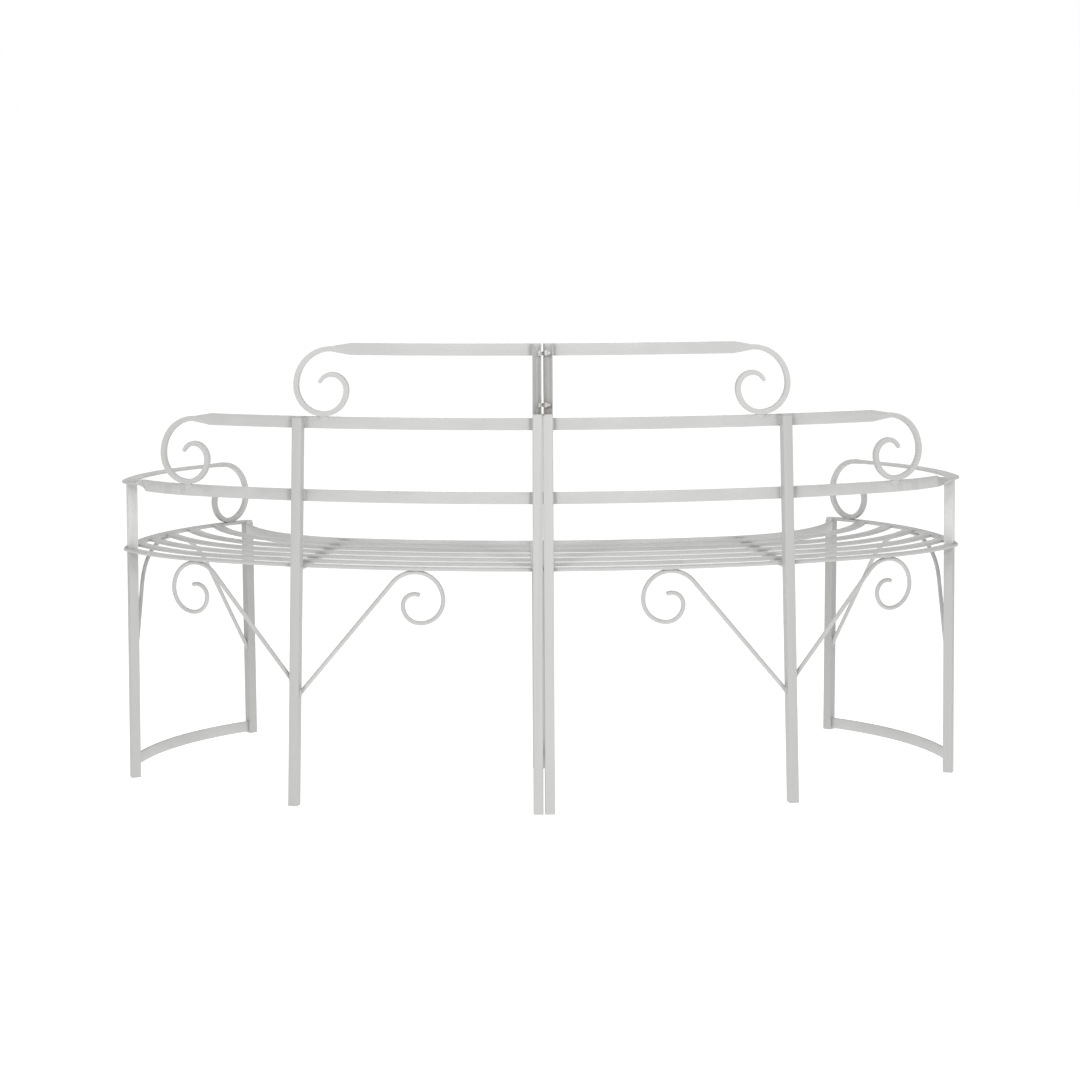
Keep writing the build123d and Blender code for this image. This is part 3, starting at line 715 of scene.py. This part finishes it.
@as_material
def joint_paint(tree, shader, colours):
    """Paint on the centre posts, darker than the bars' as painted shade: painted light inside the window, a
    painted shadow on its right wall, yellowed low in the gap.
    """
    group = add_tube_paint(tree, shader, colours.post, 0.25)
    wires = Wires(tree)
    x, y, z = wires.xyz(wires.coords())
    away = wires.math("ABSOLUTE", x)
    window = wires.math("GREATER_THAN", z, BENCH_TOP - WINDOW_HEIGHT)
    face = BACK_Y - sizes().tube
    # Painted light: the window's recess is lifted to the lighter paint against the shade its walls cast
    deep = wires.span(y, *(face + depth for depth in INSIDE_DEPTH))
    window_lit = wires.blend(wires.math("MULTIPLY", deep, window), group.outputs["Colour"], colours.paint)
    # Painted shadow: a dark line on the right post's wall in the window, for the shade of its inner wall
    right = wires.math("GREATER_THAN", x, 0.0)
    wall = wires.math("MULTIPLY", right, wires.math("LESS_THAN", away, WALL_SHADOW_REACH))
    wall_shaded = wires.blend(wires.math("MULTIPLY", wall, window), window_lit, colours.grime)
    low = wires.span(z, *(BENCH_TOP - below for below in STAIN_BELOW), *STAIN_AMOUNT, smooth=True)
    patch = wires.math("MULTIPLY", wires.span(away, *STAIN_REACH), wires.math("MULTIPLY", low, window))
    fill(shader, {"Base Color": wires.blend(patch, wall_shaded, colours.stain)})


@as_material
def weld_paint(tree, shader, colours):
    """Paint over the welds, a little duller and lumpier."""
    values = {"Paint": colours.paint, "Shade": colours.shade, "Wear": 0.1, "Mottle": 90.0}
    add_paint(tree, shader, WELD_BUMP, values)
    fill(shader, {"Specular IOR Level": 0.4})


@as_material
def bolt_steel(tree, shader, colours):
    """Zinc with overspray, for the joint bolts and nuts."""
    values = {"Paint": colours.paint, "Shade": colours.steel, "Wear": 0.5, "Mottle": 160.0}
    add_paint(tree, shader, WELD_BUMP, values)
    fill(shader, {"Metallic": 0.15})


@as_material
def plug_plastic(tree, shader, colours):
    """Dull plastic of the foot plugs."""
    values = {"Paint": colours.plug, "Shade": colours.shade, "Wear": 0.1, "Mottle": 60.0}
    add_paint(tree, shader, PLUG_BUMP, values)
    fill(shader, {"Specular IOR Level": 0.3})


@as_material
def studio_floor(_, shader, colours):
    """Pale floor that glows, so that it goes over into the white wall."""
    fill(shader, {"Base Color": colours.floor, "Roughness": 0.9, "Specular IOR Level": 0.0,
                  "Emission Color": (1, 1, 1, 1), "Emission Strength": FLOOR_GLOW})


# Pieces

def scroll_end(size, slope, drop, across, tall, curl):
    """Open bar end: drawn down, then scrolled under until it stands DROP below its start."""
    bend = Bender(size.bend_step)
    bend.aim = -slope
    bend.draw(size.draw, size.scroll_width / across, size.scroll_width / tall, DRAW_ROWS)
    bend.bend((drop - size.scroll_lower) / cos(radians(slope)), 90 - slope)
    bend.bend(size.scroll_lower, 90)
    for radius in curl:
        bend.bend(radius, 90)
    for _ in range(TIP_ROWS):
        bend.bend(size.scroll_tip, size.scroll_tip_turn / TIP_ROWS)
        bend.narrow(TIP_NARROWING)
    for distance, factor in TIP_ROUNDING:
        bend.taper(distance, factor)
    return end_section()


def plan_bar(size, arc, level, across, tall, fineness):
    """Open bar bent level along a plan arc, in steps finer by the given factor."""
    centre, radius, start, stop = arc
    flat_section(across, tall, size.bar_round)
    Bender(size.bend_step / fineness, level=True).bend(radius, stop - start)
    return place(end_section(), *on_arc(centre, radius, start), level, (0, 0, start))


def back_rail(size, name, level, stop_x):
    """Rail on edge with the scroll that stands on the rail below."""
    half = size.bar_thick / 2
    r = size.back_radius - half
    start, stop = (degrees(asin(x / r)) for x in (size.half_gap + size.wall_set_back, stop_x))
    bar = plan_bar(size, ((0, r + half), r, start, stop), level, size.bar_thick, size.bar_width, 4)
    flat_section(size.bar_thick, size.bar_width, size.bar_round)
    drop = size.tier - size.bar_width / 2 - size.scroll_width / 2
    end = scroll_end(size, 0.0, drop, size.bar_thick, size.bar_width, (size.back_return, size.back_inner))
    place(end, *on_arc((0, r + half), r, stop), level, (0, 0, stop))
    return join(name, [bar, end])


class BENCH_OT_back_rails(bpy.types.Operator):
    """Bends the top and middle rails of the back and their scrolls"""
    bl_idname = "bench.back_rails"
    bl_label = "Back Rails"

    def execute(self, context):
        size = sizes()
        tops = {"top_rail": (BENCH_TOP, size.top_rail_x), "middle_rail": (MIDDLE_TOP, size.middle_rail_x)}
        for name, (top, stop_x) in tops.items():
            rail = back_rail(size, name + "_bent_right", top - size.bar_width / 2, stop_x)
            dress_pair(rail, mirrored(rail, name + "_bent_left"), name)
        return {"FINISHED"}


def arm_rail(size, name, hand):
    """Lowest rail of the right half, its twist turned by HAND, then the arm and its scroll."""
    level = BENCH_TOP - size.bar_width / 2 - 2 * size.tier
    (c0, r0, _, t0), (c1, r1, t1, t2) = rail_arcs(size)
    t2 -= degrees(size.twist_lead / r1)
    over, arm = arm_arcs(size, level)
    arcs = (c0, r0, degrees(asin(size.half_gap / r0)), t0), (c1, r1, t1, t2)
    bars = [plan_bar(size, arc, level, size.bar_thick, size.bar_width, 4) for arc in arcs]
    x0, y0 = on_arc(c1, r1, t2)
    x1, y1 = on_arc(*over[:3])
    flat_section(size.bar_thick, size.bar_width, size.bar_round)
    bend = Bender(size.bend_step)
    bend.twist(hypot(x1 - x0, y1 - y0) - size.twist_flat, 90 * hand, TWIST_ROWS)
    bend.run(size.twist_flat)
    bars.append(place(end_section(), x0, y0, level, (0, 0, degrees(atan2(y1 - y0, x1 - x0)))))
    bars.append(plan_bar(size, over, level, size.bar_width, size.bar_thick, 3))
    bars += sloping_arm(size, arm, level)
    return join(name, bars, ARM_SEAM)


def sloping_arm(size, arc, level):
    """The flat arm, falling from its post to the front, and its drawn-down scroll."""
    c, r, a0, a1 = arc
    x0, y0 = on_arc(c, r, a0)
    x1, y1 = on_arc(c, r, a1)
    fx, fy = heading(a1)
    run = (x1 - x0) * fx + (y1 - y0) * fy
    slope = degrees(atan2(size.arm_fall, run + size.draw))
    flat_section(size.bar_width, size.bar_thick, size.bar_round)
    Bender(size.bend_step / 2, level=True).bend(r, a1 - a0)
    arm = end_section()
    place(arm, 0, -BACK_Y, 0, (0, 0, a0 - a1))
    place(arm, 0, -BACK_Y, 0, (0, slope, 0))
    place(arm, x0, y0, level, (0, 0, a1))
    stop_z = level - run * sin(radians(slope))
    flat_section(size.bar_width, size.bar_thick, size.bar_round)
    bpy.ops.transform.rotate(value=-radians(slope), orient_axis="Y", center_override=(0, 0, 0))
    drop = stop_z - size.draw * sin(radians(slope)) - SEAT_TOP - size.scroll_width / 2
    end = scroll_end(size, slope, drop, size.bar_width, size.bar_thick, (size.arm_return, size.arm_inner))
    return [arm, place(end, x1, y1, stop_z, (0, 0, a1))]


class BENCH_OT_arm_rails(bpy.types.Operator):
    """Bends the lowest rails, twists them flat over the arm posts and scrolls the arms"""
    bl_idname = "bench.arm_rails"
    bl_label = "Arm Rails"

    def execute(self, context):
        size = sizes()
        right = arm_rail(size, "arm_rail_bent_right", 1)
        drawn = arm_rail(size, "arm_rail_other_hand", -1)
        left = mirrored(drawn, "arm_rail_bent_left")
        bpy.data.objects.remove(drawn)
        dress_pair(right, left, "arm_rail")
        return {"FINISHED"}


def mid_post_point(size, height):
    """Point on the middle line of the leaning middle post, and the direction of the back there."""
    r = size.back_radius + size.tube / 2
    turn = degrees(asin(size.mid_post_x / r))
    x, y = on_arc((0, size.back_radius), r, turn)
    out = (SEAT_TOP - height) * tan(radians(size.mid_post_lean))
    c, s = heading(turn)
    return x + out * c, y + out * s, turn


def brace_kinds(size):
    """Foot, slope and side of the two braces on a middle post."""
    return {"inner": (size.inner_brace_foot, size.inner_brace_slope, -1),
            "outer": (size.outer_brace_foot, size.outer_brace_slope, 1)}


def brace_touch(size, foot, slope, side):
    """Plan point where a brace touches the seat rail, and the length of its straight part."""
    c, s = heading(slope)
    rise = SEAT_UNDER - size.rod / 2 - foot
    run = (rise - size.brace_crown * (1 - c)) / s
    reach = run * c + size.brace_crown * s
    turn = degrees(asin(size.mid_post_x / size.back_radius) + side * reach / size.back_radius)
    return on_arc((0, size.back_radius), size.back_radius - size.bar_width / 2, turn), run


def brace(size, name, foot, slope, side):
    """Rod from the middle post up under the seat rail, then curled back."""
    x, y, _ = mid_post_point(size, foot)
    (tx, ty), run = brace_touch(size, foot, slope, side)
    round_section(size.rod, size.rod_sides)
    bpy.ops.transform.rotate(value=radians(slope), orient_axis="Y", center_override=(0, 0, 0))
    bend = Bender(size.bend_step)
    bend.aim = slope
    bend.run(run)
    bend.bend(size.brace_crown, slope)
    for radius in (size.brace_lower, size.brace_return, size.brace_inner):
        bend.bend(radius, 90)
    bend.bend(size.brace_tip, size.brace_tip_turn)
    bend.taper(*BRACE_ROUNDING)
    piece = close_bar(name)
    return place(piece, x, y, foot, (0, 0, degrees(atan2(ty - y, tx - x))))


class BENCH_OT_scroll_braces(bpy.types.Operator):
    """Bends the rods that prop the seat from the middle posts"""
    bl_idname = "bench.scroll_braces"
    bl_label = "Scroll Braces"

    def execute(self, context):
        size = sizes()
        for kind, values in brace_kinds(size).items():
            rod = brace(size, f"scroll_brace_bent_{kind}_right", *values)
            other = mirrored(rod, f"scroll_brace_bent_{kind}_left")
            dress_pair(rod, other, f"scroll_brace_{kind}", ROUND_SMOOTH)
        return {"FINISHED"}


class BENCH_OT_arch_braces(bpy.types.Operator):
    """Bends the arched rods in the two end frames"""
    bl_idname = "bench.arch_braces"
    bl_label = "Arch Braces"

    def execute(self, context):
        size = sizes()
        c, r, a0, a1 = end_bar_arc(size)
        back, front = (Vector((*on_arc(c, r, a), size.arch_foot)) for a in (a0, a1))
        crown = Vector((*on_arc(c, r, (a0 + a1) / 2), SEAT_UNDER - size.rod / 2))
        along = front - back
        rise = crown - (back + front) / 2
        slope = radians(size.arch_rise)
        radius = (along.length / 2 - rise.length / tan(slope)) / tan(slope / 2)
        straight = rise.length / sin(slope) - radius * tan(slope / 2)
        turn = degrees(atan2(along.y, along.x))
        lean = degrees(atan2(hypot(rise.x, rise.y), rise.z))
        round_section(size.rod, size.rod_sides)
        bpy.ops.transform.rotate(value=slope, orient_axis="Y", center_override=(0, 0, 0))
        bend = Bender(size.bend_step)
        bend.aim = size.arch_rise
        bend.run(straight)
        bend.bend(radius, 2 * size.arch_rise)
        bend.run(straight)
        rod = place(close_bar("arch_brace_bent_right"), back.x, back.y, back.z, (lean, 0, turn))
        dress_pair(rod, mirrored(rod, "arch_brace_bent_left"), "arch_brace", ROUND_SMOOTH)
        return {"FINISHED"}


def softened(node, name, width, material, slot):
    """Copy of a straight or bowed bar of the frame with its edges rolled."""
    source = frame["nodes"][node]
    piece = source.copy()
    piece.data = source.data.copy()
    piece.parent = None
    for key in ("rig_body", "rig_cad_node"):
        if key in piece:
            del piece[key]
    bpy.context.scene.collection.objects.link(piece)
    piece.name = name
    piece.data.name = name
    pick(piece)
    edit_all()
    bpy.ops.mesh.customdata_custom_splitnormals_clear()
    bpy.ops.mesh.remove_doubles(threshold=SAME_POINT)
    bpy.ops.mesh.dissolve_limited(angle_limit=radians(FLAT_LIMIT))
    bpy.ops.object.mode_set(mode="OBJECT")
    roll = piece.modifiers.new("rolled edge", "BEVEL")
    roll.width = width
    roll.segments = 2
    roll.limit_method = "ANGLE"
    roll.angle_limit = radians(EDGE_LIMIT)
    roll.use_clamp_overlap = True
    bpy.ops.object.modifier_apply(modifier=roll.name)
    smooth(piece, CUT_SMOOTH)
    dress(piece, material, slot, node)


def soften_pairs(paints, width):
    """Softens the named bars of both halves, each in its own paint."""
    for name, paint in paints.items():
        for side in SIDES:
            softened(f"{name}_{side}", f"{name}_rolled_{side}", width, paint, "paint")


class BENCH_OT_seat_bars(bpy.types.Operator):
    """Softens the flat bars of the seat and the stretchers"""
    bl_idname = "bench.seat_bars"
    bl_label = "Seat Bars"

    def execute(self, context):
        names = ["seat_back_rail", "seat_end_bar", "seat_front_rail", "seat_inner_bar",
                 "end_stretcher", "inner_stretcher"]
        names += [f"seat_slat_{i}" for i in range(1, 6)]
        paints = dict.fromkeys(names, bar_paint())
        # The cross bars are brightened as painted light against the shade under the slats
        paints["seat_cross_bar"] = brightened_paint()
        soften_pairs(paints, sizes().edge)
        return {"FINISHED"}


class BENCH_OT_posts(bpy.types.Operator):
    """Softens the square tube posts and legs"""
    bl_idname = "bench.posts"
    bl_label = "Posts"

    def execute(self, context):
        # Middle posts, end legs and centre posts are darkened as painted shade, the front legs most
        paints = {"mid_post": shaded_post_paint(), "end_leg": shaded_post_paint(), "front_leg": shaded_leg_paint(),
                  "inner_front_leg": shaded_leg_paint(), "arm_post": brightened_paint(),
                  "centre_post": joint_paint()}
        soften_pairs(paints, sizes().edge / 2)
        return {"FINISHED"}


class BENCH_OT_fasteners(bpy.types.Operator):
    """Paints the joint bolts and nuts, the foot plugs and the post caps"""
    bl_idname = "bench.fasteners"
    bl_label = "Fasteners and Plugs"

    def execute(self, context):
        looks = {"joint_bolts": (bolt_steel(), "fastener"), "joint_nuts": (bolt_steel(), "fastener"),
                 "foot_plugs": (plug_plastic(), "plug"), "post_caps": (bar_paint(), "paint")}
        for name, (material, slot) in looks.items():
            softened(name, name + "_rolled", sizes().edge, material, slot)
        return {"FINISHED"}


def weld_bead(size):
    """Rippled bead about as long as the bar is wide, modelled along local X."""
    round_section(BEAD_TIP, BEAD_SIDES)
    bend = Bender(size.bend_step)
    bend.at = Vector((-size.bar_width * BEAD_FROM, 0.0, 0.0))
    bpy.ops.transform.translate(value=bend.at)
    for distance, factor in BEAD_START + BEAD_RIPPLE * BEAD_RIPPLES + BEAD_END:
        bend.taper(distance, factor)
    return close_bar("weld_bead_pattern")


def weld_spot():
    """Round blob of weld, half its size in each direction set by its copies."""
    clear_selection()
    bpy.ops.mesh.primitive_uv_sphere_add(segments=24, ring_count=12, radius=1.0)
    bpy.context.object.name = "weld_spot_pattern"
    return bpy.context.object


def copied(pattern, spot, rotation, scale=(1, 1, 1)):
    """Copy of a pattern with its own mesh, set at a drawn point."""
    pick(pattern)
    bpy.ops.object.duplicate()
    copy = bpy.context.object
    copy.scale = scale
    return place(copy, *spot, rotation)


def centre_post_welds(size, bead):
    """Beads down the outer side of the centre post, behind each rail."""
    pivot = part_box("joint_bolts")[0][2] + size.hex_flats / 2
    for i in range(3):
        level = BENCH_TOP - size.bar_width / 2 - i * size.tier
        x = size.half_gap + size.tube + (pivot - level) * tan(radians(size.centre_post_lean))
        yield copied(bead, (x + POST_BEAD_OFF, -POST_BEAD_OFF, level), (0, 90, 0))


def mid_post_welds(size, bead):
    """Beads on both sides of the middle post, behind the two rails that cross it."""
    for level in (MIDDLE_TOP - size.bar_width / 2, MIDDLE_TOP - size.bar_width / 2 - size.tier):
        x, y, turn = mid_post_point(size, level)
        c, s = heading(turn)
        for side in (-1, 1):
            along, out = side * (size.tube / 2 + POST_BEAD_OFF), size.tube / 2 - POST_BEAD_OFF
            yield copied(bead, (x + along * c - out * s, y + along * s + out * c, level), (0, 90, turn))


def stretcher_welds(size, bead):
    """Beads on the inner face of the end stretcher, at the end leg and at the front leg."""
    c, r, a0, a1 = end_bar_arc(size)
    ends = [Vector(on_arc(c, r, a)) for a in (a0, a1)]
    chord = (ends[1] - ends[0]).normalized()
    inner = Vector((-chord.y, chord.x))
    low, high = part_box("end_stretcher_right")
    turn = degrees(atan2(chord.y, chord.x))
    levels = high.z - size.bar_width / 2, low.z + size.bar_width / 2
    for end, step, level in zip(ends, (1, -1), levels):
        along = step * (size.tube * STRETCHER_BEAD_ALONG)
        spot = end + chord * along + inner * (size.bar_thick / 2 + STRETCHER_BEAD_OFF)
        yield copied(bead, (*spot, level), (0, 90, turn))


def scroll_foot_welds(size, blob):
    """Blobs where a scroll stands on the bar below it."""
    half = size.bar_thick / 2
    r = size.back_radius - half
    drop = size.tier - size.bar_width / 2 - size.scroll_width / 2
    reach = size.draw + drop - 2 * size.scroll_lower
    for stop_x, top in ((size.top_rail_x, MIDDLE_TOP), (size.middle_rail_x, MIDDLE_TOP - size.tier)):
        stop = degrees(asin(stop_x / r))
        x, y = on_arc((0, r + half), r, stop)
        c, s = heading(stop)
        spot = (x + reach * c, y + reach * s, top - FOOT_WELD_DROP)
        yield copied(blob, spot, (0, 0, stop), FOOT_WELD)
    c, r, _, last = end_bar_arc(size)
    x, y = on_arc(c, r, last - degrees(size.arm_scroll_back / r))
    yield copied(blob, (x, y, SEAT_TOP), (0, 0, size.arm_finish_turn), SEAT_WELD)


def brace_welds(size, blob):
    """Blobs at the foot and under the crown of each scroll brace, and at the arch."""
    for foot, slope, side in brace_kinds(size).values():
        x, y, _ = mid_post_point(size, foot)
        (tx, ty), _ = brace_touch(size, foot, slope, side)
        aim = atan2(ty - y, tx - x)
        out = size.tube / 2 + BRACE_WELD_OFF
        rise = out * tan(radians(slope))
        spot = (x + out * cos(aim), y + out * sin(aim), foot + rise)
        yield copied(blob, spot, (0, 0, degrees(aim)), BRACE_WELD)
        yield copied(blob, (tx, ty, SEAT_UNDER), (0, 0, degrees(aim)), CROWN_WELD)
    c, r, a0, a1 = end_bar_arc(size)
    middle = (a0 + a1) / 2
    yield copied(blob, (*on_arc(c, r, middle), SEAT_UNDER), (0, 0, middle), CROWN_WELD)


def arm_post_weld(blob):
    """Blob over the corner of the arm post that the bend of the arm leaves open."""
    low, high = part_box("arm_post_right")
    x, y, z = ARM_POST_WELD_IN
    spot = (low.x + x, high.y - BACK_Y - y, high.z - z)
    return copied(blob, spot, (0, 0, ARM_POST_WELD_TURN), ARM_POST_WELD)


class BENCH_OT_welds(bpy.types.Operator):
    """Runs weld beads along the rails and blobs under the scrolls and braces"""
    bl_idname = "bench.welds"
    bl_label = "Welds"

    def execute(self, context):
        size = sizes()
        bead, blob = weld_bead(size), weld_spot()
        groups = {"rail_welds": [*centre_post_welds(size, bead), *mid_post_welds(size, bead)],
                  "stretcher_welds": [*stretcher_welds(size, bead)],
                  "scroll_foot_welds": [*scroll_foot_welds(size, blob)],
                  "brace_welds": [*brace_welds(size, blob)],
                  "arm_post_weld": [arm_post_weld(blob)]}
        for name, pieces in groups.items():
            right = join(name + "_right", pieces, SAME_POINT)
            left = mirrored(right, name + "_left")
            for piece in (right, left):
                smooth(piece, ROUND_SMOOTH)
                dress(piece, weld_paint(), "paint")
        for pattern in (bead, blob):
            bpy.data.objects.remove(pattern)
        return {"FINISHED"}


def area_light(name, location, target, size, power):
    bpy.ops.object.light_add(type="AREA", location=location)
    lamp = bpy.context.object
    lamp.name = name
    lamp.data.shape = "DISK"
    lamp.data.size = size
    lamp.data.energy = power
    lamp.rotation_euler = (Vector(target) - Vector(location)).to_track_quat("-Z", "Y").to_euler()


def studio_world(scene):
    """White wall behind the bench and low down all round, in a dimmer room."""
    world = scene.world or bpy.data.worlds.new("studio")
    scene.world = world
    world.use_nodes = True
    wires = Wires(world.node_tree)
    _, ahead, upward = wires.xyz(wires.coords("Generated"))
    wall = wires.span(ahead, *WALL_EDGE, ROOM_GLOW, 1.0, smooth=True)
    skirting = wires.span(upward, *SKIRTING_EDGE, ROOM_GLOW, 1.0, smooth=True)
    fill(world.node_tree.nodes["Background"],
         {"Color": (1, 1, 1, 1), "Strength": wires.math("MAXIMUM", wall, skirting)})


class BENCH_OT_stage(bpy.types.Operator):
    """Sets the pale floor, the soft lights and the camera"""
    bl_idname = "bench.stage"
    bl_label = "Stage"

    def execute(self, context):
        clear_selection()
        bpy.ops.mesh.primitive_plane_add(size=FLOOR_SIZE, location=(0, 0, -FLOOR_DROP))
        floor = bpy.context.object
        floor.name = "studio_floor"
        floor.data.materials.append(studio_floor())
        studio_world(context.scene)
        (x, y, z), aim, size, power = KEY_LIGHT
        for side in (-1, 1):
            area_light("key_light", (side * x, y, z), aim, size, power)
        area_light("top_light", *TOP_LIGHT)
        yaw, pitch, roll = CAMERA_TURNS
        turned = Matrix.Rotation(yaw, 3, "Z")
        ahead = turned @ Vector((0, cos(pitch), -sin(pitch)))
        right = turned @ Vector((1, 0, 0))
        up = right.cross(ahead)
        turned_right = right * cos(roll) + up * sin(roll)
        turned_up = up * cos(roll) - right * sin(roll)
        bpy.ops.object.camera_add(location=CAMERA_SPOT)
        camera = bpy.context.object
        camera.rotation_euler = Matrix((turned_right, turned_up, -ahead)).transposed().to_euler()
        camera.data.sensor_width = CAMERA_SENSOR
        camera.data.lens = CAMERA_LENS
        context.scene.camera = camera
        context.scene.view_settings.view_transform = "Standard"
        return {"FINISHED"}


STEPS = (BENCH_OT_back_rails, BENCH_OT_arm_rails, BENCH_OT_scroll_braces, BENCH_OT_arch_braces,
         BENCH_OT_seat_bars, BENCH_OT_posts, BENCH_OT_fasteners, BENCH_OT_welds, BENCH_OT_stage)


class BENCH_PT_sidebar(bpy.types.Panel):
    """Lists the steps that dress the bench"""
    bl_idname = "BENCH_PT_sidebar"
    bl_label = "Garden Bench"
    bl_space_type = "VIEW_3D"
    bl_region_type = "UI"
    bl_category = "Bench"

    def draw(self, context):
        for step in STEPS:
            self.layout.operator(step.bl_idname)


CLASSES = (BenchSizes, BenchFinish, *STEPS, BENCH_PT_sidebar)


def register():
    for item in CLASSES:
        bpy.utils.register_class(item)
    bpy.types.Scene.bench_sizes = PointerProperty(type=BenchSizes)
    bpy.types.Scene.bench_finish = PointerProperty(type=BenchFinish)


def unregister():
    del bpy.types.Scene.bench_finish
    del bpy.types.Scene.bench_sizes
    for item in reversed(CLASSES):
        bpy.utils.unregister_class(item)


def main():
    register()
    bpy.ops.bench.back_rails()
    bpy.ops.bench.arm_rails()
    bpy.ops.bench.scroll_braces()
    bpy.ops.bench.arch_braces()
    bpy.ops.bench.seat_bars()
    bpy.ops.bench.posts()
    bpy.ops.bench.fasteners()
    bpy.ops.bench.welds()
    bpy.ops.bench.stage()


if __name__ == "__main__":
    main()
